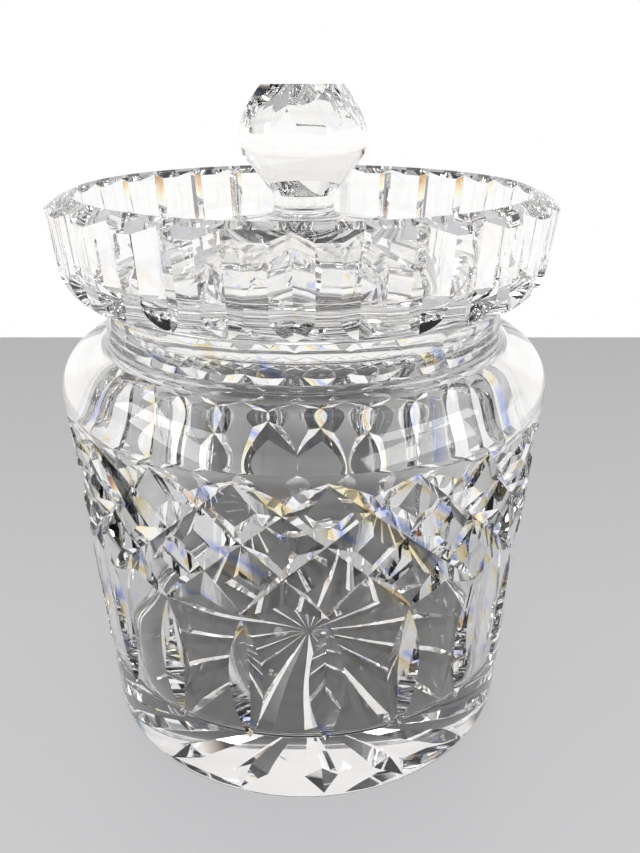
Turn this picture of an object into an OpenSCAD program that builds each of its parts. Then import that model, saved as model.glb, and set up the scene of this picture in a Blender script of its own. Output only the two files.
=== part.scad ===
// Cut-glass biscuit jar: a heavy blown jar, a dish-shaped lid and a faceted ball knob.
// Millimetres, +Z up. The origin is the middle of the base, on the surface the jar stands on.
// The jar's axis is Z. Azimuth 0 of every ring of cuts faces -Y.

/* [Jar] */
// Radius of the wall where it leaves the rounded base edge
base_r = 66.5; // [62:0.5:72]
// Rounding of the outer base edge
base_edge = 3; // [1.5:0.5:5]
// Thickness of the solid glass base
base_floor = 21; // [14:0.5:28]
// Thickness of the side wall, measured level
wall = 6.8; // [5.6:0.2:9]
// Radius of the jar at its widest ring, on the shoulder
shoulder_r = 72.4; // [69:0.2:78]
// Height of the widest ring
shoulder_z = 110; // [104:0.5:114]
// Rounding of the shoulder
shoulder_round = 12.9; // [11.5:0.1:14]
// Radius of the neck outside
neck_r = 58.2; // [56:0.2:60]
// Thickness of the neck wall
neck_wall = 6.6; // [5:0.2:8]
// Height of the neck's rim above the table
rim_z = 136.4; // [134:0.2:145]
// Inside rounding between the floor and the wall
floor_round = 4; // [3:0.5:9]
// Inside rounding of the shoulder
inner_round = 12; // [9.5:0.5:13]

/* [Band of crossed mitres] */
// Number of diamonds around the jar
repeats = 20; // [16:1:24]
// Height of the band's upper points
band_top = 106.3; // [98:0.1:107]
// Height of the band's lower points
band_bottom = 67.7; // [60:0.1:76]
// Included angle of the mitre wheel
mitre_angle = 110; // [100:1:120]

/* [Upright flutes] */
// Height of the flutes' lower tips
flute_bottom = 24; // [18:0.5:32]
// Width of a flute at its middle
flute_width = 9.5; // [6:0.1:12]
// Included angle of the flute wheel
flute_angle = 120; // [110:1:135]

/* [Star under the base] */
// Number of rays
star_rays = 16; // [12:1:18]
// Radius of the rays' outer tips
star_r = 60; // [52:0.5:62]
// Radius at which a ray is widest and deepest
star_wide_r = 46; // [32:0.5:48]
// Width of a ray at its widest
star_width = 8.6; // [5:0.1:12]
// Depth of a ray at its widest
star_depth = 3.1; // [1.5:0.1:4.5]

/* [Olive cuts around the neck] */
// Number of cuts
neck_cuts = 28; // [24:1:32]
// Depth of a cut
neck_cut_depth = 0.8; // [0.6:0.05:1.2]
// Radius of the wheel that cuts them
neck_cut_wheel = 9; // [7:0.2:10]

/* [Lid] */
// Radius of the lid at its widest, outside
lid_r = 70.8; // [69:0.2:75]
// Height of the lid from its seat to the top of the rim
lid_h = 28.2; // [26:0.2:34]
// Width of the sloping bevel inside the lid's outer edge
bevel_width = 3.4; // [2.4:0.2:4.6]
// Width of the land between the bevel and the dish's mouth
land_width = 3.4; // [2.4:0.2:4.6]
// Fall of the land from the dish's mouth to the bevel
land_drop = 1.2; // [0.4:0.1:2]
// Fall of the bevel to the outer wall
bevel_drop = 2; // [1:0.1:3]
// How far the outer wall leans in from the bevel to the rounding
lid_lean = 1.6; // [0.6:0.1:2.4]
// Rounding from the lid's wall to its underside
lid_round = 10.5; // [8:0.5:11.5]
// How far the dish wall leans in from the mouth to the corner
dish_lean = 1.4; // [0.6:0.1:2.2]
// Rounding where the dish wall meets the dish floor
dish_round = 5; // [3:0.5:7]
// Radius of the domed dish floor
dome_r = 120; // [110:1:160]
// Height of the dome's flat seat above the lid's seat
dome_h = 19.6; // [18.6:0.1:21]
// Thickness of the dome
dome_wall = 7.5; // [5:0.5:9]
// Number of upright cuts around the lid
lid_cuts = 28; // [24:1:32]
// Depth of an upright cut under the bevel
lid_cut_depth = 3.1; // [2:0.1:3.3]
// Included angle of the wheel that cuts them
lid_cut_angle = 120; // [110:1:130]

/* [Star under the dome] */
// Number of rays
dome_rays = 16; // [10:1:18]
// Radius at the middle of a ray
dome_ray_r = 29; // [28:0.5:30]
// Depth of a ray at its middle
dome_ray_depth = 1.2; // [0.6:0.1:1.2]
// Radius of the wheel that cuts the rays
dome_wheel = 48; // [36:1:50]

/* [Plug under the lid] */
// Depth of the plug inside the neck
plug_depth = 8; // [5:0.5:12]
// Gap between the plug and the neck's bore, each side
plug_gap = 0.6; // [0.4:0.1:1]
// Thickness of the plug's ring
plug_wall = 5.7; // [4:0.1:7]

/* [Knob] */
// Radius of the ball
knob_r = 17.7; // [15:0.1:19]
// Height of the ball's middle above its foot
knob_rise = 21.7; // [20:0.1:24]
// Height of the stem and its foot
stem_h = 6.5; // [5.5:0.1:7.5]
// Height of the flat table above the ball's middle
table_rise = 13.4; // [11:0.1:14.5]
// Number of facets around the crown
crown_facets = 6; // [5:1:8]
// Distance of a crown facet from the ball's middle
crown_reach = 15.8; // [15:0.1:16.4]
// How far a crown facet looks up from level
crown_tilt = 31; // [26:1:36]
// Turn of the first crown facet from the front
crown_turn = 11; // [0:1:60]
// Radius of the stem
stem_r = 8.6; // [7.5:0.1:10]
// Radius of the foot
foot_r = 11; // [10:0.1:11.4]

/* [Hidden] */

glass_clear = [0.86, 0.92, 0.94, 0.55];
glass_bright = [0.93, 0.96, 0.98, 0.6];
glass_knob = [0.97, 0.98, 1, 0.65];

over = 4;              // how far a plain cutter runs past the glass
past = 1.4;            // how far a V cutter runs past the glass, kept clear of the next one
ray_past = 0.5;        // the same under the dome, where the rays crowd together
arc_spare = 1;         // degrees by which a wheel's arc outruns its cut at each end
rim_chamfer = 0.6;     // broken edges of the rim, the plug and the foot
neck_fillet = 3;       // rounding between the shoulder and the neck
mouth_round = 4;       // rounding under the neck, inside
mitre_overrun = 0.2;   // depth of a mitre at its end points, so that pairs cross cleanly
ray_angle = 110;       // included angle of the wheel that cuts the rays under the dome
flute_gap = 1.2;       // clear glass between a mitre point and the flute under it
star_hub = 1.5;        // radius of the uncut middle of the star
star_under = 0.5;      // how far a ray's cutter reaches below the base
cone_drop = 4.5;       // how far under its middle the ball turns into a cone
dome_seat_r = 11.5;    // radius of the flat on the dome that carries the knob
arc_step = 7;          // degrees between the points of an arc

// Points of an arc from angle a0 to angle a1; first = 1 leaves out a point that is there already
function arc(cx, cz, r, a0, a1, first = 0) =
    let (n = max(2, ceil(abs(a1 - a0) / arc_step)))
    [for (i = [first:n]) [cx + r * cos(a0 + (a1 - a0) * i / n), cz + r * sin(a0 + (a1 - a0) * i / n)]];

// ---- jar: derived places ----
shoulder_x = shoulder_r - shoulder_round;
edge_x = base_r - base_edge;
// lean of the wall, a line tangent to the shoulder's arc and starting at the base edge
wall_rise = shoulder_z - base_edge;
wall_lean = atan((shoulder_r - base_r) / wall_rise);
neck_bore = neck_r - neck_wall;
fillet_x = neck_r + neck_fillet;
fillet_z = shoulder_z + sqrt(pow(shoulder_round + neck_fillet, 2) - pow(fillet_x - shoulder_x, 2));
fillet_a = atan2(fillet_z - shoulder_z, fillet_x - shoulder_x);
neck_cut_z = (fillet_z + rim_z) / 2;
floor_arc_z = base_floor + floor_round;
function wall_at(z) = base_r + (shoulder_r - base_r) * (z - base_edge) / wall_rise;
// the inside of the shoulder is rounder than the outside and runs into the mouth's rounding
inner_z = shoulder_z + shoulder_round - wall - inner_round;
inner_x = wall_at(inner_z - inner_round * sin(wall_lean)) - wall - inner_round * cos(wall_lean);
mouth_x = neck_bore + mouth_round;
mouth_z = inner_z + sqrt(pow(inner_round + mouth_round, 2) - pow(mouth_x - inner_x, 2));
mouth_a = atan2(mouth_z - inner_z, mouth_x - inner_x);

// ---- lid: derived places, in the jar's frame ----
seat_z = rim_z;
lid_top = seat_z + lid_h;
bevel_r = lid_r - bevel_width;
dish_r = bevel_r - land_width;
bevel_top = lid_top - land_drop;
bevel_foot = bevel_top - bevel_drop;
lid_round_z = seat_z + lid_round;
dome_z = seat_z + dome_h;
dome_mid = dome_z - sqrt(pow(dome_r, 2) - pow(dome_seat_r, 2));
dish_corner_x = dish_r - dish_lean - dish_round;
dish_corner_z = dome_mid + sqrt(pow(dome_r + dish_round, 2) - pow(dish_corner_x, 2));
dome_edge_a = acos(dish_corner_x / (dome_r + dish_round));
plug_r = neck_bore - plug_gap;
plug_in = plug_r - plug_wall;
plug_z = seat_z - plug_depth;
under_r = dome_r - dome_wall;
under_edge_a = acos(plug_in / under_r);

// ---- knob: derived places ----
knob_z = dome_z + knob_rise;
stem_drop = knob_rise - stem_h;
cone_r = sqrt(pow(knob_r, 2) - pow(cone_drop, 2));
cone_slope = (cone_r - stem_r) / (stem_drop - cone_drop);

function jar_outline() = concat(
    [[0, 0]],
    arc(edge_x, base_edge, base_edge, -90, -wall_lean),
    arc(shoulder_x, shoulder_z, shoulder_round, -wall_lean, fillet_a),
    arc(fillet_x, fillet_z, neck_fillet, fillet_a - 180, -180, 1),
    [[neck_r, rim_z - rim_chamfer], [neck_r - rim_chamfer, rim_z], [0, rim_z]]
);

function jar_hollow() = concat(
    [[0, base_floor]],
    arc(wall_at(floor_arc_z) - wall - floor_round, floor_arc_z, floor_round, -90, -wall_lean),
    arc(inner_x, inner_z, inner_round, -wall_lean, mouth_a),
    arc(mouth_x, mouth_z, mouth_round, mouth_a - 180, -180, 1),
    [[neck_bore, rim_z - rim_chamfer], [neck_bore + rim_chamfer, rim_z]],
    [[neck_bore + rim_chamfer, rim_z + over], [0, rim_z + over]]
);

// Calls its children once for each of n places around the jar's axis
module around(n, turn = 0) {
    for (i = [0:n - 1]) rotate([0, 0, turn + i * 360 / n]) children();
}

// A straight V cutter along Z, its edge through the origin, open towards -Y
module vee(length, depth, angle) {
    half = depth * tan(angle / 2);
    linear_extrude(height = length, center = true) polygon([[0, 0], [-half, -depth], [half, -depth]]);
}

// The working arc of a wheel with a V edge that touches the origin from -Y, its axle level
module vee_arc(wheel_r, half_length, depth, angle) {
    half = depth * tan(angle / 2);
    reach = asin(half_length / wheel_r) + arc_spare;
    translate([0, -wheel_r, 0]) rotate([0, 90, 0]) rotate([0, 0, 90 - reach])
        rotate_extrude(angle = 2 * reach, $fn = 96)
        polygon([[wheel_r, 0], [wheel_r - depth, half], [wheel_r - depth, -half]]);
}

// One mitre: its edge is the straight chord between an upper and a lower point of the band
module mitre(side) {
    spread = 360 / repeats;
    top_r = wall_at(band_top) - mitre_overrun;
    low_r = wall_at(band_bottom) - mitre_overrun;
    run = (top_r + low_r) * sin(spread);
    fall = band_top - band_bottom;
    lean = (top_r - low_r) * cos(spread);
    length = norm([run, fall, lean]);
    sag = top_r * (1 - cos(spread)) + past;
    aside = side * (top_r - low_r) / 2 * sin(spread);
    translate([aside, -(top_r + low_r) / 2 * cos(spread), (band_top + band_bottom) / 2])
        rotate([0, side * atan(run / fall), 0])
        rotate([asin(lean / length), 0, 0])
        vee(length + 2 * past, sag, mitre_angle);
}

// One upright flute, cut by a wheel whose reach into the wall gives the lens shape
module flute() {
    top = band_bottom - flute_gap;
    mid = (top + flute_bottom) / 2;
    half_length = (top - flute_bottom) / 2;
    depth = flute_width / 2 / tan(flute_angle / 2) + pow(flute_width / 2, 2) / (2 * wall_at(mid));
    wheel_r = (pow(half_length, 2) + pow(depth, 2)) / (2 * depth);
    translate([0, -wall_at(mid), mid]) rotate([wall_lean, 0, 0])
        translate([0, depth, 0]) vee_arc(wheel_r, half_length, depth + past, flute_angle);
}

// One ray of the star: a kite-shaped hollow with four flat faces
module star_ray() {
    half = star_width / 2;
    grow = (star_depth + star_under) / star_depth;
    inner = star_wide_r - (star_wide_r - star_hub) * grow;
    outer = star_wide_r + (star_r - star_wide_r) * grow;
    polyhedron(
        points = [
            [0, -star_wide_r, star_depth],
            [0, -inner, -star_under],
            [half * grow, -star_wide_r, -star_under],
            [0, -outer, -star_under],
            [-half * grow, -star_wide_r, -star_under]
        ],
        faces = [[0, 1, 2], [0, 2, 3], [0, 3, 4], [0, 4, 1], [4, 3, 2, 1]]
    );
}

// One olive cut: a wheel with a level axle, sunk into the neck
module neck_cut() {
    share = 2 * neck_r * tan(180 / neck_cuts);
    translate([0, -(neck_r - neck_cut_depth + neck_cut_wheel), neck_cut_z]) rotate([0, 90, 0])
        cylinder(h = share + past, r = neck_cut_wheel, center = true, $fn = 96);
}

module jar() {
    color(glass_clear) difference() {
        rotate_extrude($fn = 180) polygon(jar_outline());
        rotate_extrude($fn = 180) polygon(jar_hollow());
        around(repeats) {
            mitre(1);
            mitre(-1);
        }
        around(repeats) flute();
        around(star_rays) star_ray();
        around(neck_cuts) neck_cut();
    }
}

function lid_outline() = concat(
    arc(0, dome_mid, dome_r, 90 - asin(dome_seat_r / dome_r), dome_edge_a),
    arc(dish_corner_x, dish_corner_z, dish_round, dome_edge_a - 180, 0, 1),
    [[dish_r, lid_top], [bevel_r, bevel_top], [lid_r, bevel_foot]],
    arc(lid_r - lid_lean - lid_round, lid_round_z, lid_round, 0, -90),
    [[plug_r, seat_z], [plug_r, plug_z + rim_chamfer], [plug_r - rim_chamfer, plug_z]],
    [[plug_in + rim_chamfer, plug_z], [plug_in, plug_z + rim_chamfer]],
    arc(0, dome_mid, under_r, under_edge_a, 90),
    [[0, dome_z]]
);

// One upright cut of the lid: a straight V that leans with the wall and runs out at the rounding
module lid_cut() {
    wall_h = bevel_foot - lid_round_z;
    lean = atan(lid_lean / wall_h);
    length = lid_top - seat_z + over;
    translate([0, -(lid_r - lid_cut_depth), bevel_foot]) rotate([lean, 0, 0])
        translate([0, 0, over - length / 2]) vee(length, lid_cut_depth + past, lid_cut_angle);
}

// One ray under the dome: a lens-shaped cut by a wheel that curves more than the dome does
module dome_ray() {
    half_length = sqrt(2 * dome_ray_depth / (1 / dome_wheel - 1 / under_r));
    translate([0, 0, dome_mid]) rotate([asin(dome_ray_r / under_r), 0, 0])
        translate([0, 0, under_r + dome_ray_depth]) rotate([90, 0, 0])
        vee_arc(dome_wheel, half_length, dome_ray_depth + ray_past, ray_angle);
}

module lid() {
    color(glass_bright) difference() {
        rotate_extrude($fn = 180) polygon(lid_outline());
        around(lid_cuts, 180 / lid_cuts) lid_cut();
        around(dome_rays) dome_ray();
    }
}

// The ball above its cone: everything outside the cone is cut away
module knob_ball() {
    big = 3 * knob_r;
    difference() {
        sphere(r = knob_r, $fn = 96);
        translate([-big / 2, -big / 2, table_rise]) cube([big, big, big]);
        around(crown_facets, crown_turn)
            rotate([-crown_tilt, 0, 0]) translate([-big / 2, -crown_reach - big, -big / 2]) cube([big, big, big]);
        rotate_extrude($fn = 96) polygon([
            [stem_r, -stem_drop], [cone_r + over * cone_slope, over - cone_drop],
            [big, over - cone_drop], [big, -big], [0, -big], [0, -stem_drop]
        ]);
    }
}

module knob() {
    color(glass_knob) union() {
        translate([0, 0, knob_z]) knob_ball();
        translate([0, 0, dome_z]) rotate_extrude($fn = 96) polygon(concat(
            [[0, 0], [foot_r, 0], [foot_r, rim_chamfer]],
            arc(foot_r, rim_chamfer + foot_r - stem_r, foot_r - stem_r, -90, -180),
            [[stem_r, stem_h], [0, stem_h]]
        ));
    }
}

jar();
lid();
knob();
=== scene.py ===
# %% [markdown]
# A cut-glass biscuit jar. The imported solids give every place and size, and this lesson
# dresses them: it turns the same half-sections far more finely, grinds the same cuts into
# them, and gives each surface the normals that a polished one has. Glass shows every flat
# step in a mesh, because it bends light twice for each wall, so most of the work is there.

# %% Load the frame
import math

import bmesh
import bpy
import numpy as np
from mathutils import Matrix, Vector


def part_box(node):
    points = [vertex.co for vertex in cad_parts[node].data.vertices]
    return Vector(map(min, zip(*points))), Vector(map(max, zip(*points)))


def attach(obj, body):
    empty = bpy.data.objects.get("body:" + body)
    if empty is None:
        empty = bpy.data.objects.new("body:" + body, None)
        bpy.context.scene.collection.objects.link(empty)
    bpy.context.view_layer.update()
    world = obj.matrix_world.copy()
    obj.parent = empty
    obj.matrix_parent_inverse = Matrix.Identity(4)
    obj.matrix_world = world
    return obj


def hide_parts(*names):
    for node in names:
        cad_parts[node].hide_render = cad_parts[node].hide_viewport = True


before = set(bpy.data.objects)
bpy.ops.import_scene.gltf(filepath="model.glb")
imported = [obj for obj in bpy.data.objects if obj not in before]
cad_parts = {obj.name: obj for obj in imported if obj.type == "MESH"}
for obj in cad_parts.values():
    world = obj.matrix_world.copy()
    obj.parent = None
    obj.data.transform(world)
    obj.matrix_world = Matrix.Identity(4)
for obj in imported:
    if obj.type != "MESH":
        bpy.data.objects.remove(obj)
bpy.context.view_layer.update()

# %% [markdown]
# The camera stands close to the jar and a little above its lid, looking down. It is made
# first, because everything that follows is judged through it. The sensor's width belongs to
# the long side of an upright frame, so the lens is the focal length as a share of that side.

# %% Camera
CAMERA_AZIMUTH = math.radians(-4.178)
CAMERA_DISTANCE = 0.23224
CAMERA_HEIGHT = 0.19115
CAMERA_PITCH = math.radians(23.554)
CAMERA_YAW = math.radians(1.142)
SENSOR = 36.0
FOCAL_PIXELS = 786.47
LONG_SIDE_PIXELS = 853
CLIP_START, CLIP_END = 0.01, 20

camera_data = bpy.data.cameras.new("camera")
camera_data.sensor_width = SENSOR
camera_data.lens = SENSOR * FOCAL_PIXELS / LONG_SIDE_PIXELS
camera_data.clip_start, camera_data.clip_end = CLIP_START, CLIP_END
camera = bpy.data.objects.new("camera", camera_data)
camera.location = (
    CAMERA_DISTANCE * math.sin(CAMERA_AZIMUTH),
    -CAMERA_DISTANCE * math.cos(CAMERA_AZIMUTH),
    CAMERA_HEIGHT,
)
camera.rotation_euler = (math.pi / 2 - CAMERA_PITCH, 0, CAMERA_AZIMUTH - CAMERA_YAW)
bpy.context.scene.collection.objects.link(camera)
bpy.context.scene.camera = camera
print("camera lens, mm:", round(camera_data.lens, 2))

# %% [markdown]
# A turned form is drawn as half of its section, in millimetres. A plain curve would give
# points alone, so this outline also keeps the exact direction in which each stretch of the
# surface faces. An arc then stays round however few points it has. The outline is walked
# with the glass on its left, and a stretch can be marked as blown, which is never ground.

# %% An outline that knows its normals
MM = 0.001
TINY = 1e-6
ARC_STEP = 3.0
LINE_STEP = 5.0


class Outline:
    def __init__(self, start):
        self.here = np.array(start, float)
        self.ends, self.normals, self.hand_blown = [], [], []
        self.blown = False

    def add(self, point, first, last):
        point = np.array(point, float)
        self.ends.append((self.here, point))
        self.normals.append((first, last))
        self.hand_blown.append(self.blown)
        self.here = point

    def line(self, *point):
        way = np.array(point, float) - self.here
        length = np.hypot(*way)
        if length < TINY:
            return
        facing = np.array([way[1], -way[0]]) / length
        start = self.here
        count = max(1, math.ceil(length / LINE_STEP))
        for i in range(count):
            self.add(start + way * (i + 1) / count, facing, facing)

    def arc(self, x, z, radius, start, end):
        count = max(2, math.ceil(abs(end - start) / ARC_STEP))
        angles = np.radians(np.linspace(start, end, count + 1))
        spokes = np.stack([np.cos(angles), np.sin(angles)], 1)
        side = 1 if end > start else -1
        self.line(*(np.array([x, z]) + radius * spokes[0]))
        for a, b in zip(spokes, spokes[1:]):
            self.add(np.array([x, z]) + radius * b, side * a, side * b)


print("an arc takes a point every", ARC_STEP, "degrees, a line every", LINE_STEP, "mm")

# %% [markdown]
# A lathe turns the outline into a solid. A Screw modifier would do it too, but here the mesh
# is written out, because the blown stretches need their ripple while the points are made.
# Where the outline meets the axis, its ring of points is one point.

# %% Turn an outline about the axis
TURN_STEPS = 240


def mesh_object(name, points, faces):
    mesh = bpy.data.meshes.new(name)
    mesh.from_pydata([tuple(p) for p in points], [], faces)
    mesh.update()
    piece = bpy.data.objects.new(name, mesh)
    bpy.context.scene.collection.objects.link(piece)
    return piece


def turned(name, outline, ripple=None):
    angles = np.arange(TURN_STEPS) * 2 * math.pi / TURN_STEPS
    section = [outline.ends[0][0]] + [b for a, b in outline.ends]
    blown = [outline.hand_blown[0]] + outline.hand_blown
    points, rings = [], []
    for (r, z), soft in zip(section, blown):
        first = len(points)
        if r < TINY:
            points.append((0, 0, z))
            rings.append([first] * TURN_STEPS)
            continue
        out = r + (ripple(angles, z) if soft and ripple else 0 * angles)
        points += list(zip(out * np.cos(angles), out * np.sin(angles), 0 * angles + z))
        rings.append(list(range(first, first + TURN_STEPS)))
    faces = []
    for low, high in zip(rings, rings[1:]):
        for i in range(TURN_STEPS):
            j = (i + 1) % TURN_STEPS
            corners = [low[i], low[j], high[j], high[i]]
            faces.append(tuple(dict.fromkeys(corners)))
    return mesh_object(name, points, faces)


print("a turned form has a point every", 360 / TURN_STEPS, "degrees")

# %% [markdown]
# Cut glass is ground with wheels, so each cutter here is the closed solid that a wheel sweeps
# out. It is a row of sections with equally many corners, joined side by side and closed at
# both ends. One helper serves them all, because only the sections differ from wheel to wheel.

# %% Sweep sections into a cutter
def swept(sections):
    sections = np.array(sections, float)
    steps, sides = sections.shape[:2]
    last = (steps - 1) * sides
    faces = [tuple(reversed(range(sides))), tuple(last + k for k in range(sides))]
    for s in range(steps - 1):
        for k in range(sides):
            a, b = s * sides + k, s * sides + (k + 1) % sides
            faces.append((a, b, b + sides, a + sides))
    return sections.reshape(-1, 3), faces


wedge = swept([[(0, 0, z), (1, 0, z), (0, 1, z)] for z in (0, 1)])
print("faces of a swept triangle:", len(wedge[1]))

# %% [markdown]
# Three shapes of wheel come back again and again: a straight V for a mitre, an arc of a
# V-edged wheel for a lens-shaped flute, and a level cylinder for an olive. PAST is how far a
# cutter stands out past the surface, so that no skin is left over it, and ARC_SPARE carries
# an arc a little past both ends of its cut.

# %% Shapes of the wheels
PAST = 1.4
ARC_SPARE = math.radians(1)
WHEEL_STEPS, CYLINDER_STEPS = 26, 180


def vee(length, depth, angle):
    half = depth * math.tan(angle / 2)
    return swept([
        [(0, 0, z), (-half, -depth, z), (half, -depth, z)]
        for z in (-length / 2, length / 2)
    ])


def vee_arc(wheel_r, half_length, depth, angle):
    half = depth * math.tan(angle / 2)
    reach = math.asin(half_length / wheel_r) + ARC_SPARE
    back = wheel_r - depth
    sections = []
    for t in np.linspace(-reach, reach, WHEEL_STEPS + 1):
        c, s = math.cos(t), math.sin(t)
        edge = (0, wheel_r * (c - 1), wheel_r * s)
        heel = (back * c - wheel_r, back * s)
        sections.append([edge, (-half, *heel), (half, *heel)])
    return swept(sections)


def level_cylinder(radius, length):
    angles = np.linspace(0, 2 * math.pi, CYLINDER_STEPS, endpoint=False)
    return swept([
        [(x, radius * math.cos(t), radius * math.sin(t)) for t in angles]
        for x in (-length / 2, length / 2)
    ])


print("points of a straight V and of an arc:", len(vee(9, 2, 2)[0]), len(vee_arc(40, 9, 2, 2)[0]))

# %% [markdown]
# Each cutter is drawn once at the front of the piece and repeated around the axis. Cutters
# that would overlap are ground in two rounds, every second one at a time, because a Boolean
# wants a cutter that doesn't run through itself.

# %% Place a cutter and repeat it
def moved(shape, matrix):
    points, faces = shape
    return np.array([matrix @ Vector(p) for p in points]), faces


def around(count, shape, turn=0.0, every=1, skip=0):
    points, faces, first = [], [], 0
    for i in range(skip, count, every):
        spin = Matrix.Rotation(turn + i * 2 * math.pi / count, 4, "Z")
        placed, sides = moved(shape, spin)
        points += list(placed)
        faces += [tuple(first + k for k in side) for side in sides]
        first = len(points)
    return points, faces


print("points of five Vs around the axis:", len(around(5, vee(9, 2, 2))[0]))

# %% [markdown]
# Grinding is a Boolean difference. The MANIFOLD solver is exact about what it cuts away and
# quick enough for hundreds of grooves, but it needs every face to look outward.

# %% Grind a piece
CUT_SOLVER = "MANIFOLD"


def outward(piece):
    work = bmesh.new()
    work.from_mesh(piece.data)
    bmesh.ops.recalc_face_normals(work, faces=work.faces)
    work.to_mesh(piece.data)
    work.free()


def grind(piece, shape):
    wheel = mesh_object("wheel", *shape)
    outward(wheel)
    cut = piece.modifiers.new("cut", "BOOLEAN")
    cut.operation, cut.solver, cut.object = "DIFFERENCE", CUT_SOLVER, wheel
    view = bpy.context.evaluated_depsgraph_get()
    ground = bpy.data.meshes.new_from_object(piece.evaluated_get(view))
    piece.modifiers.clear()
    piece.data = ground
    bpy.data.objects.remove(wheel)


print("solver for the cuts:", CUT_SOLVER)

# %% [markdown]
# The jar is a heavy tumbler with a solid base, walls that lean out a little, a round shoulder
# and a short upright neck. Heights that the solids already have are read from their boxes,
# and the rest are the same values that the solids were made with, in millimetres.

# %% Sizes of the jar
lid_low, lid_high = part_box("lid")
RIM_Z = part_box("jar")[1].z / MM
PLUG_Z = lid_low.z / MM
LID_TOP = lid_high.z / MM
DOME_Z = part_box("knob")[0].z / MM
BASE_R, BASE_EDGE, BASE_FLOOR, WALL = 66.5, 3.0, 21.0, 6.8
SHOULDER_R, SHOULDER_Z, SHOULDER_ROUND = 72.4, 110.0, 12.9
NECK_R, NECK_WALL, NECK_FILLET = 58.2, 6.6, 3.0
FLOOR_ROUND, INNER_ROUND, MOUTH_ROUND, CHAMFER = 4.0, 12.0, 4.0, 0.6

WALL_LEAN = math.atan((SHOULDER_R - BASE_R) / (SHOULDER_Z - BASE_EDGE))
LEAN = math.degrees(WALL_LEAN)
SHOULDER_X = SHOULDER_R - SHOULDER_ROUND
BORE_R = NECK_R - NECK_WALL
FILLET_X = NECK_R + NECK_FILLET
FILLET_Z = SHOULDER_Z + math.sqrt(
    (SHOULDER_ROUND + NECK_FILLET) ** 2 - (FILLET_X - SHOULDER_X) ** 2
)
FILLET_A = math.degrees(math.atan2(FILLET_Z - SHOULDER_Z, FILLET_X - SHOULDER_X))


def wall_at(z):
    return BASE_R + (SHOULDER_R - BASE_R) * (z - BASE_EDGE) / (SHOULDER_Z - BASE_EDGE)


heights = (RIM_Z, PLUG_Z, LID_TOP, DOME_Z)
print("rim, plug, lid top, dome seat, mm:", [round(v, 2) for v in heights])

# %% [markdown]
# The outline runs out along the underside, up the wall, over the shoulder and the neck, and
# back down the inside. The inside of the shoulder follows its outside at an even wall, which
# is how blown glass cools, and two arcs that touch lead it into the neck.

# %% The jar's outline
floor_z = BASE_FLOOR + FLOOR_ROUND
inner_z = SHOULDER_Z + SHOULDER_ROUND - WALL - INNER_ROUND
inner_wall = wall_at(inner_z - INNER_ROUND * math.sin(WALL_LEAN)) - WALL
inner_x = inner_wall - INNER_ROUND * math.cos(WALL_LEAN)
mouth_x = BORE_R + MOUTH_ROUND
mouth_z = inner_z + math.sqrt((INNER_ROUND + MOUTH_ROUND) ** 2 - (mouth_x - inner_x) ** 2)
mouth_a = math.degrees(math.atan2(mouth_z - inner_z, mouth_x - inner_x))

jar_outline = Outline((0, 0))
jar_outline.arc(BASE_R - BASE_EDGE, BASE_EDGE, BASE_EDGE, -90, -LEAN)
jar_outline.arc(SHOULDER_X, SHOULDER_Z, SHOULDER_ROUND, -LEAN, FILLET_A)
jar_outline.arc(FILLET_X, FILLET_Z, NECK_FILLET, FILLET_A - 180, -180)
jar_outline.line(NECK_R, RIM_Z - CHAMFER)
jar_outline.line(NECK_R - CHAMFER, RIM_Z)
jar_outline.line(BORE_R + CHAMFER, RIM_Z)
jar_outline.line(BORE_R, RIM_Z - CHAMFER)
jar_outline.line(BORE_R, mouth_z + 2 * CHAMFER)
jar_outline.blown = True
jar_outline.arc(mouth_x, mouth_z, MOUTH_ROUND, 180, 180 + mouth_a)
jar_outline.arc(inner_x, inner_z, INNER_ROUND, mouth_a, -LEAN)
jar_outline.arc(wall_at(floor_z) - WALL - FLOOR_ROUND, floor_z, FLOOR_ROUND, -LEAN, -90)
jar_outline.line(0, BASE_FLOOR)
print("jar outline points:", len(jar_outline.ends))

# %% [markdown]
# The inside was never ground, only blown, so its wall swells and thins by a tenth of a
# millimetre or so. That is too little to see as a shape, but it makes the reflections and
# whatever is seen through the wall swim, as they do in real blown glass. A few sine waves
# around the axis do it, and they fade out towards the floor and the mouth.

# %% Ripple of the blown inside
RIPPLE = 0.09
RIPPLE_WAVES = ((3, 0.047, 0.4), (5, 0.083, 1.9), (8, 0.031, 3.1), (11, 0.12, 5.0))
START_OVER_FLOOR, RISE = 3, 12
END_OVER_MOUTH, FALL = 2, 9


def ripple(angle, z):
    rise = max(0.0, (z - BASE_FLOOR - START_OVER_FLOOR) / RISE)
    fade = min(1.0, rise, max(0.0, (mouth_z + END_OVER_MOUTH - z) / FALL))
    return RIPPLE * fade * sum(np.sin(n * angle + k * z + p) for n, k, p in RIPPLE_WAVES)


jar = turned("jar_glass", jar_outline, ripple)
print("turned jar:", len(jar.data.polygons), "faces")

# %% [markdown]
# The band is cut with a V-edged wheel held straight, so every mitre is a chord of the round
# wall: shallow at its ends and deepest in the middle. Two sets lean opposite ways and cross,
# which leaves the small pointed diamonds between them. Cutting real chords gives their uneven
# depth for nothing, where a bump map would give flat lines.

# %% Crossed mitres
REPEATS = 20
BAND_TOP, BAND_BOTTOM = 106.3, 67.7
MITRE_ANGLE = math.radians(110)
MITRE_OVERRUN = 0.2


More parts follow.
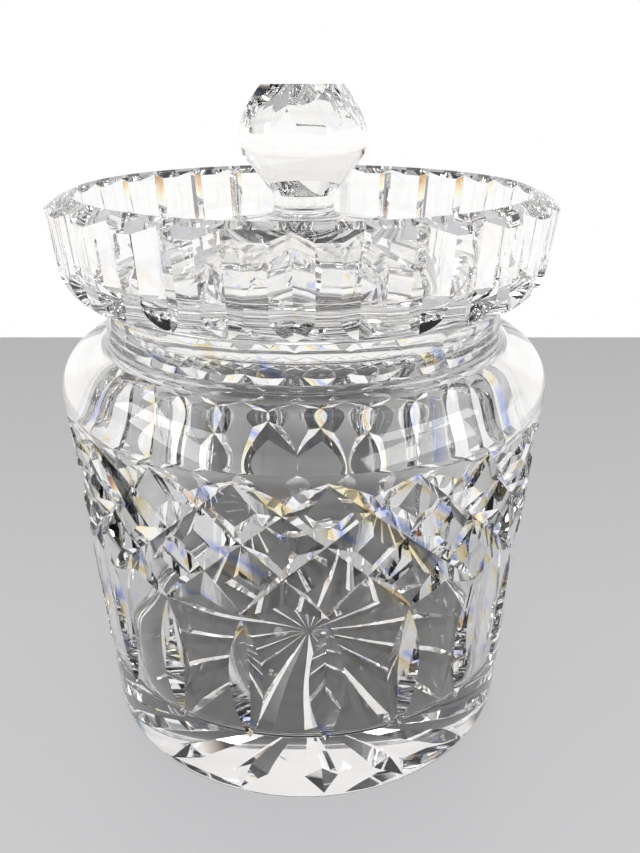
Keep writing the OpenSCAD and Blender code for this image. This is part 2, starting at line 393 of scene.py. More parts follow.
def mitre(side):
    spread = 2 * math.pi / REPEATS
    top_r = wall_at(BAND_TOP) - MITRE_OVERRUN
    low_r = wall_at(BAND_BOTTOM) - MITRE_OVERRUN
    run = (top_r + low_r) * math.sin(spread)
    fall = BAND_TOP - BAND_BOTTOM
    lean = (top_r - low_r) * math.cos(spread)
    length = math.sqrt(run**2 + fall**2 + lean**2)
    sag = top_r * (1 - math.cos(spread)) + PAST
    middle = Vector((
        side * (top_r - low_r) / 2 * math.sin(spread),
        -(top_r + low_r) / 2 * math.cos(spread),
        (BAND_TOP + BAND_BOTTOM) / 2,
    ))
    slant = Matrix.Rotation(side * math.atan(run / fall), 4, "Y")
    tip = Matrix.Rotation(math.asin(lean / length), 4, "X")
    wheel = vee(length + 2 * PAST, sag, MITRE_ANGLE)
    return moved(wheel, Matrix.Translation(middle) @ (slant @ tip))


for side in (1, -1):
    grind(jar, around(REPEATS, mitre(side)))
print("after mitres:", len(jar.data.polygons), "faces")

# %% [markdown]
# Under every point of the band stands a flute, a tall lens that is wide in the middle and
# pointed at both ends. A V-edged wheel leaves that shape by itself where it dips into a flat
# wall, so its radius is worked out from the length and the depth of the cut.

# %% Upright flutes
FLUTE_BOTTOM, FLUTE_WIDTH, FLUTE_GAP = 24.0, 9.5, 1.2
FLUTE_ANGLE = math.radians(120)


def flute():
    top = BAND_BOTTOM - FLUTE_GAP
    mid, half_length = (top + FLUTE_BOTTOM) / 2, (top - FLUTE_BOTTOM) / 2
    half = FLUTE_WIDTH / 2
    depth = half / math.tan(FLUTE_ANGLE / 2) + half**2 / (2 * wall_at(mid))
    wheel_r = (half_length**2 + depth**2) / (2 * depth)
    place = Matrix.Translation((0, -wall_at(mid), mid)) @ Matrix.Rotation(WALL_LEAN, 4, "X")
    wheel = vee_arc(wheel_r, half_length, depth + PAST, FLUTE_ANGLE)
    return moved(wheel, place @ Matrix.Translation((0, depth, 0)))


grind(jar, around(REPEATS, flute()))
print("after flutes:", len(jar.data.polygons), "faces")

# %% [markdown]
# The star under the base is what shines through the bottom of the jar. Each ray is a long
# kite, narrow at the hub and deepest near its outer end, so its cutter is a kite with one
# raised point. The four slanting faces of that point are the mirrors that catch the light.

# %% Star under the base
STAR_RAYS, STAR_HUB, STAR_R = 16, 1.5, 60.0
STAR_WIDE_R, STAR_WIDTH, STAR_DEPTH = 46.0, 8.6, 3.1


def star_ray():
    half = STAR_WIDTH / 2
    rim = [(0, -STAR_HUB), (half, -STAR_WIDE_R), (0, -STAR_R), (-half, -STAR_WIDE_R)]
    kites = [(x, y, z) for z in (0, -1) for x, y in rim]
    points = kites + [(0, -STAR_WIDE_R, STAR_DEPTH)]
    sides = [(k, (k + 1) % 4, 8) for k in range(4)]
    skirts = [(k, k + 4, (k + 1) % 4 + 4, (k + 1) % 4) for k in range(4)]
    return np.array(points, float), sides + skirts + [(4, 5, 6, 7)]


grind(jar, around(STAR_RAYS, star_ray()))
print("after the star:", len(jar.data.polygons), "faces")

# %% [markdown]
# Around the neck runs a ring of olives, the shallow ovals that a round-edged wheel leaves. A
# level cylinder laid against the neck cuts one. Neighbours touch, so they take two rounds.

# %% Olive cuts around the neck
NECK_CUTS, NECK_CUT_DEPTH, NECK_CUT_WHEEL = 28, 0.8, 9.0
neck_cut_z = (FILLET_Z + RIM_Z) / 2
neck_share = 2 * NECK_R * math.tan(math.pi / NECK_CUTS)
neck_cut_y = NECK_R - NECK_CUT_DEPTH + NECK_CUT_WHEEL
neck_cut = moved(
    level_cylinder(NECK_CUT_WHEEL, neck_share + PAST),
    Matrix.Translation((0, -neck_cut_y, neck_cut_z)),
)
for skip in (0, 1):
    grind(jar, around(NECK_CUTS, neck_cut, every=2, skip=skip))
print("jar:", len(jar.data.polygons), "faces")

# %% [markdown]
# The lid is a shallow dish. Its floor rises as a dome towards the knob, a plug ring under it
# reaches into the neck, and its thick wall ends in a land and a bevel. The knob is a ball on
# a short stem, with a flat table on top. Again the values are those of the solids.

# %% Sizes of the lid and knob
LID_R, LID_LEAN, LID_ROUND = 70.8, 1.6, 10.5
BEVEL_WIDTH, BEVEL_DROP, LAND_WIDTH, LAND_DROP = 3.4, 2.0, 3.4, 1.2
DISH_LEAN, DISH_ROUND, DOME_R, DOME_WALL, SEAT_R = 1.4, 5.0, 120.0, 7.5, 11.5
PLUG_GAP, PLUG_WALL = 0.6, 5.7
KNOB_R, KNOB_RISE, CONE_DROP, TABLE_RISE = 17.7, 21.7, 4.5, 13.4
STEM_H, STEM_R, FOOT_R = 6.5, 8.6, 11.0
SEAT_FILM = 0.05
SEAT_TILT = 0.4

bevel_r = LID_R - BEVEL_WIDTH
dish_r = bevel_r - LAND_WIDTH
bevel_top = LID_TOP - LAND_DROP
bevel_foot = bevel_top - BEVEL_DROP
lid_round_x = LID_R - LID_LEAN - LID_ROUND
lid_round_z = RIM_Z + LID_ROUND
dome_mid = DOME_Z - math.sqrt(DOME_R**2 - SEAT_R**2)
corner_x = dish_r - DISH_LEAN - DISH_ROUND
corner_z = dome_mid + math.sqrt((DOME_R + DISH_ROUND) ** 2 - corner_x**2)
corner_a = math.degrees(math.acos(corner_x / (DOME_R + DISH_ROUND)))
plug_r = BORE_R - PLUG_GAP
plug_in = plug_r - PLUG_WALL
under_r = DOME_R - DOME_WALL
under_a = math.degrees(math.acos(plug_in / under_r))
knob_z = DOME_Z + KNOB_RISE
print("dish corner, middle of the knob, mm:", round(corner_x, 2), round(knob_z, 2))

# %% [markdown]
# The knob is fused to the dome in the fire, so light runs from one into the other and no
# skin shows between them. Here one outline goes round both, and the piece stands for the
# lid's solid and the knob's. The seat is ground, and a film of air too thin to see keeps it
# from lying in the very plane of the rim. SEAT_TILT starts the round of the wall a touch
# late, which makes the edge of that film a slope and not a step.

# %% The outline of the lid with its knob
flare = FOOT_R - STEM_R
seat_a = 90 - math.degrees(math.asin(SEAT_R / DOME_R))
lid_outline = Outline((0, dome_mid + under_r))
lid_outline.arc(0, dome_mid, under_r, 90, under_a)
lid_outline.line(plug_in, PLUG_Z + CHAMFER)
lid_outline.line(plug_in + CHAMFER, PLUG_Z)
lid_outline.line(plug_r - CHAMFER, PLUG_Z)
lid_outline.line(plug_r, PLUG_Z + CHAMFER)
lid_outline.line(plug_r, RIM_Z + SEAT_FILM)
lid_outline.line(lid_round_x, RIM_Z + SEAT_FILM)
lid_outline.arc(lid_round_x, lid_round_z, LID_ROUND, -90 + SEAT_TILT, 0)
lid_outline.line(LID_R, bevel_foot)
lid_outline.line(bevel_r, bevel_top)
lid_outline.line(dish_r, LID_TOP)
lid_outline.arc(corner_x, corner_z, DISH_ROUND, 0, corner_a - 180)
lid_outline.arc(0, dome_mid, DOME_R, corner_a, seat_a)
lid_outline.line(FOOT_R, DOME_Z)
lid_outline.line(FOOT_R, DOME_Z + CHAMFER)
lid_outline.arc(FOOT_R, DOME_Z + CHAMFER + flare, flare, -90, -180)
lid_outline.line(STEM_R, DOME_Z + STEM_H)
ball_low = -math.degrees(math.asin(CONE_DROP / KNOB_R))
ball_high = math.degrees(math.asin(TABLE_RISE / KNOB_R))
lid_outline.arc(0, knob_z, KNOB_R, ball_low, ball_high)
lid_outline.line(0, knob_z + TABLE_RISE)
lid = turned("lid_with_knob", lid_outline)
print("lid outline points:", len(lid_outline.ends))

# %% [markdown]
# The lid's wall is cut into upright columns. Each cut is a straight V that follows the lean
# of the wall and runs out over the bevel, so the rim gets its scalloped edge from it.

# %% Upright cuts around the lid
LID_CUTS, LID_CUT_DEPTH, LID_CUT_SPARE = 28, 3.1, 4.0
LID_CUT_ANGLE = math.radians(120)
cut_length = LID_TOP - RIM_Z + LID_CUT_SPARE
cut_lean = math.atan(LID_LEAN / (bevel_foot - lid_round_z))
lid_cut = moved(
    vee(cut_length, LID_CUT_DEPTH + PAST, LID_CUT_ANGLE),
    Matrix.Translation((0, -(LID_R - LID_CUT_DEPTH), bevel_foot))
    @ Matrix.Rotation(cut_lean, 4, "X")
    @ Matrix.Translation((0, 0, LID_CUT_SPARE - cut_length / 2)),
)
for skip in (0, 1):
    grind(lid, around(LID_CUTS, lid_cut, turn=math.pi / LID_CUTS, every=2, skip=skip))
print("after upright cuts:", len(lid.data.polygons), "faces")

# %% [markdown]
# Under the dome lies a second star, of short lens-shaped rays around the knob's foot. The
# wheel has to be smaller than the hollow of the dome, and the length of a ray follows from
# the two radii.

# %% Star under the dome
DOME_RAYS, DOME_RAY_R, DOME_RAY_DEPTH, DOME_WHEEL, RAY_PAST = 16, 29.0, 1.2, 48.0, 0.5
RAY_ANGLE = math.radians(110)
ray_half = math.sqrt(2 * DOME_RAY_DEPTH / (1 / DOME_WHEEL - 1 / under_r))
dome_ray = moved(
    vee_arc(DOME_WHEEL, ray_half, DOME_RAY_DEPTH + RAY_PAST, RAY_ANGLE),
    Matrix.Translation((0, 0, dome_mid))
    @ Matrix.Rotation(math.asin(DOME_RAY_R / under_r), 4, "X")
    @ Matrix.Translation((0, 0, under_r + DOME_RAY_DEPTH))
    @ Matrix.Rotation(math.pi / 2, 4, "X"),
)
grind(lid, around(DOME_RAYS, dome_ray))
print("half length of a ray, mm:", round(ray_half, 2))

# %% [markdown]
# The ball's crown has six flat facets around its table. A facet is what is left when a block
# is taken off the ball, and the blocks overlap, so they are taken off one by one.

# %% Crown facets on the knob
CROWN_FACETS, CROWN_REACH = 6, 15.8
CROWN_TILT, CROWN_TURN = math.radians(31), math.radians(11)
FACET_HALF, FACET_THICK = 10.0, 8.0
near_y, far_y = -CROWN_REACH, -CROWN_REACH - FACET_THICK
facet = swept([
    [(x, near_y, -FACET_HALF), (x, near_y, FACET_HALF),
     (x, far_y, FACET_HALF), (x, far_y, -FACET_HALF)]
    for x in (-FACET_HALF, FACET_HALF)
])
facet = moved(facet, Matrix.Rotation(-CROWN_TILT, 4, "X"))
for i in range(CROWN_FACETS):
    spin = Matrix.Rotation(CROWN_TURN + i * 2 * math.pi / CROWN_FACETS, 4, "Z")
    grind(lid, moved(moved(facet, spin), Matrix.Translation((0, 0, knob_z))))
print("lid with knob:", len(lid.data.polygons), "faces")

# %% [markdown]
# A mesh is flat between its points, but a polished surface isn't. To put that right, every
# place on a piece is looked at in the half-section, where it is a distance from the axis and
# a height. flat_places goes there, about_axis brings a direction back, and stretches lists
# an outline as rows of numbers, so that all faces can be handled at once.

# %% From the piece to its half-section and back
def flat_places(points):
    return np.stack([np.hypot(points[:, 0], points[:, 1]), points[:, 2]], 1)


def about_axis(slopes, points):
    angles = np.arctan2(points[:, 1], points[:, 0])
    out, up = slopes[:, 0], slopes[:, 1]
    ways = np.stack([out * np.cos(angles), out * np.sin(angles), up], 1)
    return ways / np.linalg.norm(ways, axis=1)[:, None]


def stretches(outline):
    starts = np.array([a for a, b in outline.ends])
    ways = np.array([b - a for a, b in outline.ends])
    return starts, ways, np.array(outline.normals), np.array(outline.hand_blown)


for outline in (jar_outline, lid_outline):
    blown = stretches(outline)[3]
    print("stretches:", len(blown), "of which blown:", int(blown.sum()))

# %% [markdown]
# Each face is matched to the stretch of outline that it lies nearest to. A face that lies
# off it, or faces another way, was ground. For the blown inside only the distance counts,
# and it may be as much as the ripple.

# %% Which faces were ground
NEAR_MM = 0.04
NEAR_TURN = math.cos(math.radians(3))
RIPPLE_MOST = RIPPLE * len(RIPPLE_WAVES)


def match_faces(mesh, outline):
    starts, ways, facing, blown = stretches(outline)
    centres = np.zeros(len(mesh.polygons) * 3)
    normals = np.zeros(len(mesh.polygons) * 3)
    mesh.polygons.foreach_get("center", centres)
    mesh.polygons.foreach_get("normal", normals)
    centres, normals = centres.reshape(-1, 3), normals.reshape(-1, 3)
    gap = flat_places(centres)[:, None, :] - starts[None]
    share = np.clip((gap * ways).sum(2) / (ways**2).sum(1), 0, 1)
    far = np.hypot(*np.moveaxis(gap - share[..., None] * ways, 2, 0))
    stretch = far.argmin(1)
    ideal = about_axis(facing[stretch].mean(1), centres)
    spare = np.where(blown[stretch], RIPPLE_MOST, NEAR_MM)
    turned_away = (ideal * normals).sum(1) < NEAR_TURN
    ground = (far.min(1) > spare) | turned_away & ~blown[stretch]
    return stretch, ground


print("a blown face may lie off its stretch by, mm:", round(RIPPLE_MOST, 2))

# %% [markdown]
# Where a ground face meets another, the edge is crisp unless the two belong to one wheel's
# arc and turn less than GROUND_TURN against each other. Where it meets a face that no wheel
# has touched, the edge is always crisp. Between two uncut faces it is crisp only at a real
# corner of the outline, which turns by more than UNCUT_TURN.

# %% Sharp edges
GROUND_TURN = math.radians(6)
UNCUT_TURN = math.radians(20)


def mark_sharp(mesh, ground):
    work = bmesh.new()
    work.from_mesh(mesh)
    work.faces.ensure_lookup_table()
    for edge in work.edges:
        if len(edge.link_faces) != 2:
            edge.smooth = False
            continue
        a, b = edge.link_faces
        mixed = ground[a.index] != ground[b.index]
        limit = GROUND_TURN if ground[a.index] else UNCUT_TURN
        edge.smooth = not mixed and a.normal.angle(b.normal, 0) < limit
    work.to_mesh(mesh)
    work.free()


print("ground faces meet softly below, degrees:", round(math.degrees(GROUND_TURN)))

# %% [markdown]
# The turned faces take the exact normals of their stretch, corner by corner, as custom
# normals. Smooth shading would only average the faces that meet at a point, and that goes
# wrong beside every cut. Exact normals make a coarse ring of faces bend light like a
# lathe-turned one. The blown faces keep the average, which follows their ripple, and so do
# the ground ones, between their crisp edges.

# %% Exact normals
def set_exact_normals(mesh, outline, stretch, ground):
    starts, ways, facing, blown = stretches(outline)
    corners = np.zeros(len(mesh.loops) * 3, np.float32)
    mesh.corner_normals.foreach_get("vector", corners)
    corners = corners.reshape(-1, 3)
    places = np.zeros(len(mesh.vertices) * 3)
    mesh.vertices.foreach_get("co", places)
    vertex = np.zeros(len(mesh.loops), np.int32)
    mesh.loops.foreach_get("vertex_index", vertex)
    places = places.reshape(-1, 3)[vertex]
    face = np.repeat(np.arange(len(mesh.polygons)), [p.loop_total for p in mesh.polygons])
    which = stretch[face]
    along = ((flat_places(places) - starts[which]) * ways[which]).sum(1)
    share = np.clip(along / (ways[which] ** 2).sum(1), 0, 1)[:, None]
    exact = about_axis(facing[which, 0] * (1 - share) + facing[which, 1] * share, places)
    turned_face = ~ground[face] & ~blown[which]
    corners[turned_face] = exact[turned_face]
    mesh.normals_split_custom_set(corners.tolist())


print("corners to set on the jar:", len(jar.data.loops))

# %% [markdown]
# Now both pieces are polished. The number of a face's material keeps whether it was ground,
# 0 for turned and 1 for ground, which the finishes need later. Everything so far was drawn in
# millimetres, and a scene's unit is the metre, so the meshes are scaled down at the end.

# %% Polish both pieces
def polish(piece, outline):
    mesh = piece.data
    stretch, ground = match_faces(mesh, outline)
    mesh.polygons.foreach_set("material_index", ground.astype(np.int32))
    mesh.polygons.foreach_set("use_smooth", np.ones(len(ground), bool))
    mark_sharp(mesh, ground)
    mesh.update()
    set_exact_normals(mesh, outline, stretch, ground)
    print(piece.name, "ground faces:", int(ground.sum()), "of", len(ground))


polish(jar, jar_outline)
polish(lid, lid_outline)
for piece in (jar, lid):
    piece.data.transform(Matrix.Scale(MM, 4))

# %% [markdown]
# Two finishes meet on the jar. Blown glass swells gently and carries a few cords, and ground
# glass keeps the faint chatter of its wheel under the polish. Both need the same nodes with
# other values, so these are built once, as a group with named inputs. First come four small
# helpers, which add a node, a socket of a group, a range or a mix of colours in one line. A
# Mix node has sockets of the same name for numbers, vectors and colours, so color_mix finds
# the ones for colours by their place in the row.

# %% Helpers for nodes
MIX_SHARE, MIX_FIRST, MIX_SECOND, MIX_RESULT = 0, 6, 7, 2


def add_node(tree, kind, **inputs):
    node = tree.nodes.new("ShaderNode" + kind)
    for name, value in inputs.items():
        socket = node.inputs[name.replace("_", " ")]
        if isinstance(value, bpy.types.NodeSocket):
            tree.links.new(value, socket)
        else:
            socket.default_value = value
    return node


def group_socket(group, name, side, kind, value=None):
    socket = group.interface.new_socket(name, in_out=side, socket_type="NodeSocket" + kind)
    if value is not None:
        socket.default_value = value


def range_node(tree, value, low, high, top):
    node = tree.nodes.new("ShaderNodeMapRange")
    tree.links.new(value, node.inputs["Value"])
    node.inputs["From Min"].default_value = low
    node.inputs["From Max"].default_value = high
    tree.links.new(top, node.inputs["To Max"])
    return node


def color_mix(tree, blend, share, first, second):
    node = tree.nodes.new("ShaderNodeMix")
    node.data_type, node.blend_type = "RGBA", blend
    for socket, value in {MIX_SHARE: share, MIX_FIRST: first, MIX_SECOND: second}.items():
        tree.links.new(value, node.inputs[socket])
    return node.outputs[MIX_RESULT]


print("a colour mix takes its colours at sockets", MIX_FIRST, "and", MIX_SECOND)

# %% [markdown]
# Four noises make the skin. Two push the normal: the slow swell of the wall, and the fine
# chatter of a wheel. The third lets the glass lean from cool to warm, because thick glass is
# never one even tint. The last leaves a breath of haze where the polish didn't reach.

# %% A node group for the skin of crystal
SKIN_DEFAULTS = {
    "Swell Scale": 40.0, "Swell Height": 1e-5,
    "Chatter Scale": 400.0, "Chatter Height": 1e-6, "Haze": 0.02,
}
LEAN_SCALE, BREATH_SCALE, BREATH_FROM, BREATH_TO = 22.0, 90.0, 0.6, 0.72

skin = bpy.data.node_groups.new("crystal_skin", "ShaderNodeTree")
for name, value in SKIN_DEFAULTS.items():
    group_socket(skin, name, "INPUT", "Float", value)
group_socket(skin, "Cool", "INPUT", "Color", (0.98, 0.99, 1, 1))
group_socket(skin, "Warm", "INPUT", "Color", (1, 0.99, 0.97, 1))
for name, kind in {"Color": "Color", "Roughness": "Float", "Normal": "Vector"}.items():
    group_socket(skin, name, "OUTPUT", kind)
given = skin.nodes.new("NodeGroupInput").outputs
taken = skin.nodes.new("NodeGroupOutput").inputs
place = skin.nodes.new("ShaderNodeTexCoord").outputs["Object"]

swell = add_node(skin, "TexNoise", Vector=place, Scale=given["Swell Scale"], Detail=1.5)
chatter = add_node(skin, "TexNoise", Vector=place, Scale=given["Chatter Scale"], Detail=2.0)
swollen = add_node(
    skin, "Bump", Strength=1.0, Distance=given["Swell Height"], Height=swell.outputs[0],
)
pushed = add_node(
    skin, "Bump", Strength=1.0, Distance=given["Chatter Height"], Height=chatter.outputs[0],
    Normal=swollen.outputs[0],
)
skin.links.new(pushed.outputs[0], taken["Normal"])

lean = add_node(skin, "TexNoise", Vector=place, Scale=LEAN_SCALE, Detail=1.0)
tint = color_mix(skin, "MIX", lean.outputs[0], given["Cool"], given["Warm"])
skin.links.new(tint, taken["Color"])

breath = add_node(skin, "TexNoise", Vector=place, Scale=BREATH_SCALE, Detail=6.0)
haze = range_node(skin, breath.outputs[0], BREATH_FROM, BREATH_TO, given["Haze"])
skin.links.new(haze.outputs[0], taken["Roughness"])
print("crystal_skin nodes:", len(skin.nodes))

# %% [markdown]
# Lead crystal bends blue more than red, and its facets part the light into small patches of
# amber and blue. The renderer bends all colours alike, so the ground faces carry painted
# patches of that coloured light in their tint. A slow noise chooses a few places, and there a
# wave runs from amber to blue, which is the order in which a real prism gives them.

# %% A node group for the painted fire of ground faces
PRISM_SCALE, PRISM_BEND = 38.0, 2.0
PRISM_COLORS = {
    0.05: (1, 1, 1, 1),
    0.3: (1, 0.85, 0.35, 1),
    0.42: (0.8, 0.42, 0.06, 1),
    0.5: (0.9, 0.88, 0.85, 1),
    0.64: (0.12, 0.22, 0.95, 1),
    0.8: (1, 1, 1, 1),
}
PATCH_FROM, PATCH_TO = 0.53, 0.6

fire = bpy.data.node_groups.new("crystal_painted_fire", "ShaderNodeTree")
group_socket(fire, "Color", "INPUT", "Color", (1, 1, 1, 1))
group_socket(fire, "Patch Scale", "INPUT", "Float", 110.0)
group_socket(fire, "Painted Fire", "INPUT", "Float", 1.0)
group_socket(fire, "Color", "OUTPUT", "Color")
given = fire.nodes.new("NodeGroupInput").outputs
place = fire.nodes.new("ShaderNodeTexCoord").outputs["Object"]

spread = add_node(
    fire, "TexWave", Vector=place, Scale=PRISM_SCALE, Distortion=PRISM_BEND, Detail=0.0,
)
spread.bands_direction, spread.wave_profile = "DIAGONAL", "SAW"
prism = fire.nodes.new("ShaderNodeValToRGB")
for k, (at, color) in enumerate(PRISM_COLORS.items()):
    stops = prism.color_ramp.elements
    stop = stops[k] if k < 2 else stops.new(at)
    stop.position, stop.color = at, color
fire.links.new(spread.outputs["Fac"], prism.inputs[0])

patches = add_node(fire, "TexNoise", Vector=place, Scale=given["Patch Scale"], Detail=0.0)
chosen = range_node(fire, patches.outputs[0], PATCH_FROM, PATCH_TO, given["Painted Fire"])
# painted fire: amber and blue patches that stand in for light split by a prism, multiplied into
# the glass's colour
painted_fire_color = color_mix(fire, "MULTIPLY", chosen.outputs[0], given["Color"], prism.outputs[0])
fire.links.new(painted_fire_color, fire.nodes.new("NodeGroupOutput").inputs[0])
print("crystal_painted_fire nodes:", len(fire.nodes))

# %% [markdown]
# The crystal itself is a plain glass shader: full transmission and the high index of lead
# glass, both set on the shader's own sockets, while the groups feed only what changes over
# the surface. The painted fire of split light goes between the skin's colour and the shader.

# %% Crystal
CRYSTAL_IOR = 1.545


def crystal(name, **settings):
    material = bpy.data.materials.new(name)
    material.use_nodes = True
    tree = material.node_tree
    shader = tree.nodes["Principled BSDF"]
    shader.inputs["IOR"].default_value = CRYSTAL_IOR
    shader.inputs["Transmission Weight"].default_value = 1.0
    surface = tree.nodes.new("ShaderNodeGroup")
    surface.node_tree = skin
    for socket, value in settings.items():
        surface.inputs[socket.replace("_", " ")].default_value = value
    for socket in ("Roughness", "Normal"):
        tree.links.new(surface.outputs[socket], shader.inputs[socket])
    tree.links.new(surface.outputs["Color"], shader.inputs["Base Color"])
    return material


def add_painted_fire(material, amount):
    # multiplies painted fire, amber and blue patches standing in for split light, into the
    # glass's colour
    tree = material.node_tree
    color = tree.nodes["Principled BSDF"].inputs["Base Color"]
    painted_fire_node = tree.nodes.new("ShaderNodeGroup")
    painted_fire_node.node_tree = fire
    painted_fire_node.inputs["Painted Fire"].default_value = amount
    tree.links.new(color.links[0].from_socket, painted_fire_node.inputs["Color"])
    tree.links.new(painted_fire_node.outputs[0], color)
    return material


print("index of refraction:", CRYSTAL_IOR)

# %% [markdown]
# Uncut glass swells in slow waves, and ground faces have a finer and lower skin, which is kept
# in one place because three finishes share it. The cuts in the jar's wall carry most of the
# painted fire, the prism colours that stand in for split light. The lid's columns are broad
# and plain, so they get little of it, and the star gets none.

# %% Finishes
blown_glass = crystal(
    "crystal_blown", Swell_Scale=35.0, Swell_Height=6e-5,
    Chatter_Scale=260.0, Chatter_Height=1e-6, Haze=0.015,
    Cool=(0.985, 0.993, 1.0, 1), Warm=(1.0, 0.99, 0.975, 1),
)
GROUND_SKIN = {
    "Swell_Scale": 120.0, "Swell_Height": 1.2e-5,
    "Chatter_Scale": 900.0, "Chatter_Height": 6e-7, "Haze": 0.03,
    "Cool": (0.975, 0.985, 1.0, 1), "Warm": (1.0, 0.99, 0.965, 1),
}
# shares of painted fire, prism colour standing in for split light, on the jar's and the lid's
# cuts
JAR_PAINTED_FIRE, LID_PAINTED_FIRE = 0.9, 0.15
star_glass = crystal("crystal_star", **GROUND_SKIN)
finishes = {
    jar: (blown_glass, add_painted_fire(crystal("crystal_cut", **GROUND_SKIN), JAR_PAINTED_FIRE), star_glass),
    lid: (blown_glass, add_painted_fire(crystal("crystal_cut_lid", **GROUND_SKIN), LID_PAINTED_FIRE)),
}
print("finishes of the jar:", [glass.name for glass in finishes[jar]])

# %% [markdown]
# Every face already knows whether it was ground. The star's rays get the third finish, with no
# painted fire, because they are long even faces on which a painted patch of fire would show as
# a blot. Clearing a mesh's materials sets all its faces back to the first, so their numbers are
# kept and written again.

# %% A finish for each face
STAR_SPARE = 0.2
STAR_TOP = (STAR_DEPTH + STAR_SPARE) * MM
for piece in (jar, lid):
    faces = piece.data.polygons
    finish, middle = np.zeros(len(faces), np.int32), np.zeros(len(faces) * 3)
    faces.foreach_get("material_index", finish)
    faces.foreach_get("center", middle)
    finish[(finish == 1) & (middle[2::3] < STAR_TOP)] = 2
    piece.data.materials.clear()
    for glass in finishes[piece]:
        piece.data.materials.append(glass)
    faces.foreach_set("material_index", finish)
    print(piece.name, "faces of each finish:", np.bincount(finish).tolist())

# %% [markdown]
# The two pieces now take the places of the solids. The jar's glass stays where it is, and
# the lid with its knob rides on the lid, so it lifts off with it.

# %% Stand for the solids
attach(jar, "jar")
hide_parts("jar")
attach(lid, "lid")
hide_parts("lid", "knob")
print("in place of the solids:", jar.name, "and", lid.name)

# %% [markdown]
# The floor is a plain pale table top, turned to the camera so that its far edge lies level.
# It stops a hair's breadth under the base, because glass pressed flat against it would lose
# the bright mirror that its underside is.

# %% Floor
FLOOR_HALF = 0.39
FLOOR_FILM = 0.0001
FLOOR_COLOR, FLOOR_ROUGHNESS = (0.56, 0.56, 0.57, 1), 0.4

corner_signs = ((-1, -1), (1, -1), (1, 1), (-1, 1))
floor_turn = Matrix.Rotation(CAMERA_AZIMUTH - CAMERA_YAW, 3, "Z")
floor_corners = [
    floor_turn @ Vector((x * FLOOR_HALF, y * FLOOR_HALF, -FLOOR_FILM)) for x, y in corner_signs
]
floor = mesh_object("floor", floor_corners, [(0, 1, 2, 3)])
floor_paint = bpy.data.materials.new("floor_paint")
floor_paint.use_nodes = True
floor_shader = floor_paint.node_tree.nodes["Principled BSDF"]
floor_shader.inputs["Base Color"].default_value = FLOOR_COLOR
floor_shader.inputs["Roughness"].default_value = FLOOR_ROUGHNESS
floor.data.materials.append(floor_paint)
print("floor, m:", 2 * FLOOR_HALF, "square")

# %% [markdown]
# Cut glass has no colour of its own. It shows the room, bent into its facets, so the room is
# what gets designed, and the world's shader draws it. Low down all the way round stands a
# white backdrop. Above it the room is light behind the jar and grey in front, and dark at the
# sides and overhead, because a facet sparkles only if its neighbour shows something dark.
# Azimuths and elevations are in degrees, each edge with the width over which it softens.

# %% Sizes and lights of the room
BACKDROP_TOP, BACKDROP_EDGE = 8, 2
WALL_TOP, WALL_EDGE = 60, 8
BACK_HALF, FRONT_HALF, SIDE_EDGE = 62, 55, 7
BACKDROP_LIGHT, BACK_LIGHT = (1.0, 1.0, 1.0), (0.9, 0.885, 0.875)
SIDE_LIGHT, FRONT_LIGHT = (0.05, 0.055, 0.07), (0.35, 0.355, 0.37)
CEILING_LIGHT = (0.03, 0.034, 0.05)
FIRE_TURN = 0.5
DEGREES = 180 / math.pi

world = bpy.data.worlds.new("studio")
bpy.context.scene.world = world
world.use_nodes = True
sky = world.node_tree


def sky_math(operation, *values, clamp=False):
    node = sky.nodes.new("ShaderNodeMath")
    node.operation, node.use_clamp = operation, clamp
    for socket, value in zip(node.inputs, values):
        if isinstance(value, (int, float)):
            socket.default_value = value
        else:
            sky.links.new(value, socket)
    return node.outputs[0]


def sky_blend(share, low, high):
    return sky_math("ADD", sky_math("MULTIPLY", share, sky_math("SUBTRACT", high, low)), low)


def sky_step(value, at, soft):
    past = sky_math("DIVIDE", sky_math("SUBTRACT", value, at), soft)
    return sky_math("ADD", past, 0.5, clamp=True)


print("light behind, in front, at the sides:", BACK_LIGHT[0], FRONT_LIGHT[0], SIDE_LIGHT[0])

# %% [markdown]
# The red, green and blue of the room are drawn one by one. For light that comes through the
# glass, red has its edges half a degree to one side and blue to the other, as a prism would
# spread them, so the facets show thin coloured rims. The camera itself sees the plain white
# backdrop from every side.

# %% The room, colour by colour
way = sky.nodes.new("ShaderNodeTexCoord")
split = sky.nodes.new("ShaderNodeSeparateXYZ")
ray = sky.nodes.new("ShaderNodeLightPath")
sky.links.new(way.outputs["Generated"], split.inputs[0])
elevation = sky_math("MULTIPLY", sky_math("ARCSINE", split.outputs["Z"]), DEGREES)
ahead = sky_math("MULTIPLY", split.outputs["Y"], -1.0)
from_front = sky_math("MULTIPLY", sky_math("ARCTAN2", split.outputs["X"], ahead), DEGREES)
from_front = sky_math("SUBTRACT", from_front, math.degrees(CAMERA_AZIMUTH))


def sky_channel(channel, shift):
    shift = sky_math("MULTIPLY", ray.outputs["Is Transmission Ray"], shift * FIRE_TURN)
    lifted = sky_math("ADD", elevation, shift)
    aside = sky_math("ABSOLUTE", sky_math("ADD", from_front, shift))
    in_side = sky_step(aside, FRONT_HALF, SIDE_EDGE)
    near = sky_blend(in_side, FRONT_LIGHT[channel], SIDE_LIGHT[channel])
    in_back = sky_step(aside, 180 - BACK_HALF, SIDE_EDGE)
    walls = sky_blend(in_back, near, BACK_LIGHT[channel])
    upper = sky_blend(sky_step(lifted, WALL_TOP, WALL_EDGE), walls, CEILING_LIGHT[channel])
    above = sky_step(lifted, BACKDROP_TOP, BACKDROP_EDGE)
    room = sky_blend(above, BACKDROP_LIGHT[channel], upper)
    return sky_blend(ray.outputs["Is Camera Ray"], room, BACKDROP_LIGHT[channel])


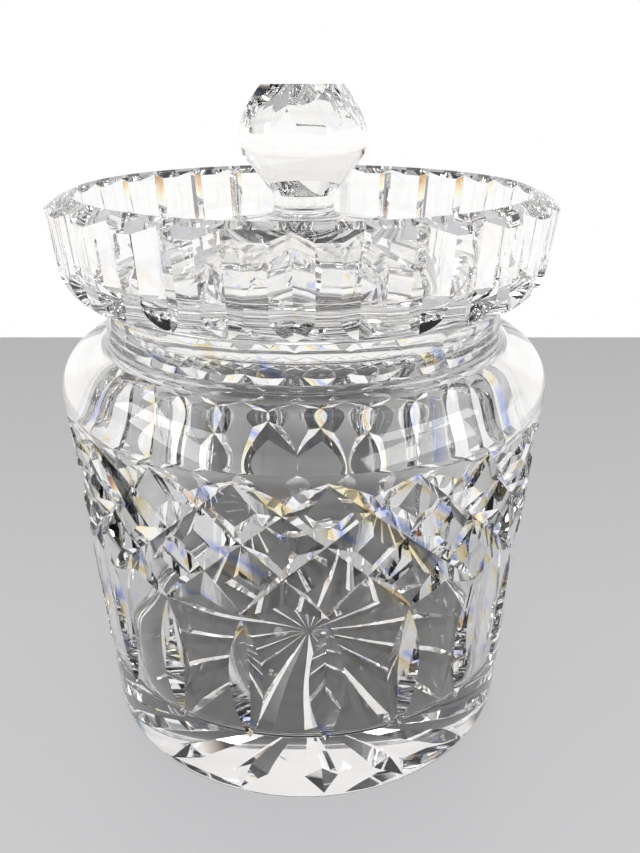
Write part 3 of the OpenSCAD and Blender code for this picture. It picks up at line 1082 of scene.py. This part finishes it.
whole = sky.nodes.new("ShaderNodeCombineColor")
for channel, shift in enumerate((-1, 0, 1)):
    sky.links.new(sky_channel(channel, shift), whole.inputs[channel])
sky.links.new(whole.outputs[0], sky.nodes["Background"].inputs["Color"])
print("nodes in the sky:", len(sky.nodes))

# %% [markdown]
# The floor takes only a third of the sky, so that it stays a quiet grey under the key lamp.
# Is Diffuse Ray can tell it so only if the world is left out of direct sampling, which asks
# for the sky's light without saying for which kind of surface.

# %% Less sky for the floor
SOFT_SHARE = 0.35
world.cycles.sampling_method = "NONE"
dimmed = sky_math("MULTIPLY", ray.outputs["Is Diffuse Ray"], 1 - SOFT_SHARE)
strength = sky_math("SUBTRACT", 1.0, dimmed)
sky.links.new(strength, sky.nodes["Background"].inputs["Strength"])
print("sky's share on the floor:", SOFT_SHARE)

# %% [markdown]
# Two wide panels stand in for windows. They show in the glass alone and put no light on the
# floor, which keeps its shade even. The key lamp does the opposite: it lights the floor, and
# the glass doesn't show it. It stands at the camera's side, so the shadow falls behind the
# jar, where it darkens what is seen through the shoulder.

# %% Lamps
WINDOW_AZIMUTHS = {"left_window": -78, "right_window": 56}
WINDOW_ELEVATION, WINDOW_AWAY, WINDOW_WIDTH, WINDOW_TALL, WINDOW_LIGHT = 35, 0.95, 0.86, 0.24, 5.0
KEY_ELEVATION, KEY_AWAY, KEY_SIDE, KEY_LIGHT = 30, 2.2, 0.6, 76.0


def lamp(name, azimuth, elevation, away, width, tall, light):
    data = bpy.data.lights.new(name, "AREA")
    data.shape, data.size, data.size_y = "RECTANGLE", width, tall
    data.energy = light * math.pi * width * tall
    holder = bpy.data.objects.new(name, data)
    a, e = math.radians(azimuth), math.radians(elevation)
    out = Vector((math.sin(a) * math.cos(e), -math.cos(a) * math.cos(e), math.sin(e)))
    holder.location = Vector((0, 0, SHOULDER_Z * MM)) + away * out
    holder.rotation_euler = (-out).to_track_quat("-Z", "Y").to_euler()
    bpy.context.scene.collection.objects.link(holder)
    print(name, "watts:", round(data.energy, 2))
    return holder


for name, azimuth in WINDOW_AZIMUTHS.items():
    window = lamp(
        name, azimuth, WINDOW_ELEVATION, WINDOW_AWAY, WINDOW_WIDTH, WINDOW_TALL, WINDOW_LIGHT,
    )
    window.visible_diffuse = False
camera_side = math.degrees(CAMERA_AZIMUTH)
key = lamp("key", camera_side, KEY_ELEVATION, KEY_AWAY, KEY_SIDE, KEY_SIDE, KEY_LIGHT)
key.visible_glossy = key.visible_transmission = False

# %% [markdown]
# Light that crosses the jar passes a dozen surfaces and more, so the paths have to be long,
# or the deepest facets turn black. Caustics are off: light that the glass would gather on the
# floor comes out as noise, and it would wash out the dark ground that the star needs.

# %% Render depth and plain view
BOUNCES, GLOSSY_BOUNCES = 24, 12
scene = bpy.context.scene
scene.cycles.max_bounces = scene.cycles.transmission_bounces = BOUNCES
scene.cycles.glossy_bounces = GLOSSY_BOUNCES
scene.cycles.caustics_refractive = scene.cycles.caustics_reflective = False
scene.view_settings.view_transform = "Standard"
print("bounces:", scene.cycles.max_bounces)
